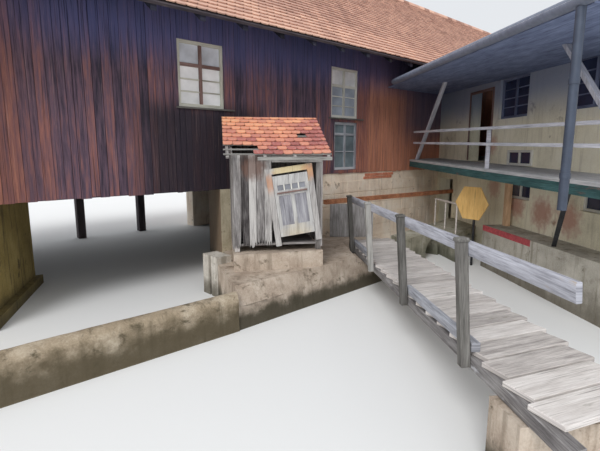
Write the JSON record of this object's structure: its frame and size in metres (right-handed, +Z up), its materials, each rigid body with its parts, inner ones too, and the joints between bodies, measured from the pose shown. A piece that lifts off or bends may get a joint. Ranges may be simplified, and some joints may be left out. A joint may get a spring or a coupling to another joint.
{
  "type": "watermill",
  "caption": "Timber mill hall on stream piers with a tiled roof, a leaning sluice hut on a plinth, a plank footbridge with posts, and a plastered wing with a covered gallery.",
  "frame": {"origin": "on the lowest line of the building, at the foot of the stream pier under the front wall of the hall", "axes": "+X along the hall to the right, +Y into the hall, +Z up"},
  "size_m": [25, 17.6357, 8.3869],
  "materials": {
    "masonry": "rough weathered stone and mortar",
    "concrete": "rough mossy concrete",
    "bridge_timber": "grey weathered boards",
    "gallery_timber": "painted and weathered",
    "hall_boards": "dark tarred boards",
    "roof_tiles": "weathered clay tiles with lichen",
    "hut_tiles": "orange clay tiles with lichen",
    "hut_boards": "silver grey bare boards",
    "door_paint": "flaking paint",
    "window_frames": "white paint",
    "wing_plaster": "cream limewash on plaster",
    "grey_metal": "dull zinc",
    "steel": "rusty",
    "yellow_board": "bare plywood"
  },
  "bodies": {
    "building": {"base_back_wall": "masonry", "base_front_wall": "masonry", "bridge_kerb": "bridge_timber", "bridge_planks": "bridge_timber", "bridge_posts": "bridge_timber", "bridge_rail": "bridge_timber", "bridge_stringers": "bridge_timber", "culvert": "concrete", "culvert_railing": "steel", "divider_wall": "concrete", "downpipe": "grey_metal", "gallery_floor": "gallery_timber", "gallery_frame": "gallery_timber", "gallery_props": "gallery_timber", "gallery_railing": "gallery_timber", "gallery_struts": "gallery_timber", "hall_back_wall": "hall_boards", "hall_floor": "hall_boards", "hall_front_wall": "hall_boards", "hall_gables": "hall_boards", "hall_ridge": "roof_tiles", "hall_roof_back": "roof_tiles", "hall_roof_front": "roof_tiles", "hall_windows": "window_frames", "hexagon_board": "yellow_board", "hut_back_boards": "hut_boards", "hut_door_frame": "door_paint", "hut_floor": "hut_boards", "hut_front_boards": "hut_boards", "hut_posts": "hut_boards", "hut_rafters": "hut_boards", "hut_roof": "hut_tiles", "hut_side_boards": "hut_boards", "left_abutment": "masonry", "left_pier": "masonry", "middle_pier": "masonry", "near_abutment": "masonry", "plinth": "concrete", "rafter_tails": "hall_boards", "rear_posts": "hall_boards", "slotted_block": "concrete", "sluice_boards": "bridge_timber", "steel_beam": "steel", "walkway": "concrete", "wing_back_wall": "wing_plaster", "wing_end_wall": "wing_plaster", "wing_floor": "gallery_timber", "wing_gutter": "grey_metal", "wing_roof_back": "roof_tiles", "wing_roof_front": "roof_tiles", "wing_soffit": "gallery_timber", "wing_wall_left": "wing_plaster", "wing_wall_over_door": "wing_plaster", "wing_wall_right": "wing_plaster", "wing_wall_under_door": "wing_plaster", "wing_windows": "window_frames"},
    "hut_door": {"hut_door": "door_paint"}
  },
  "joints": [
    {"name": "hut_door_hinge", "type": "hinge", "parent": "building", "child": "hut_door", "pos_m": [0.21761, -2.13388, 1.74551], "axis": [-0.118, 0.0738, 0.9903], "range_deg": [0, 100]}
  ]
}
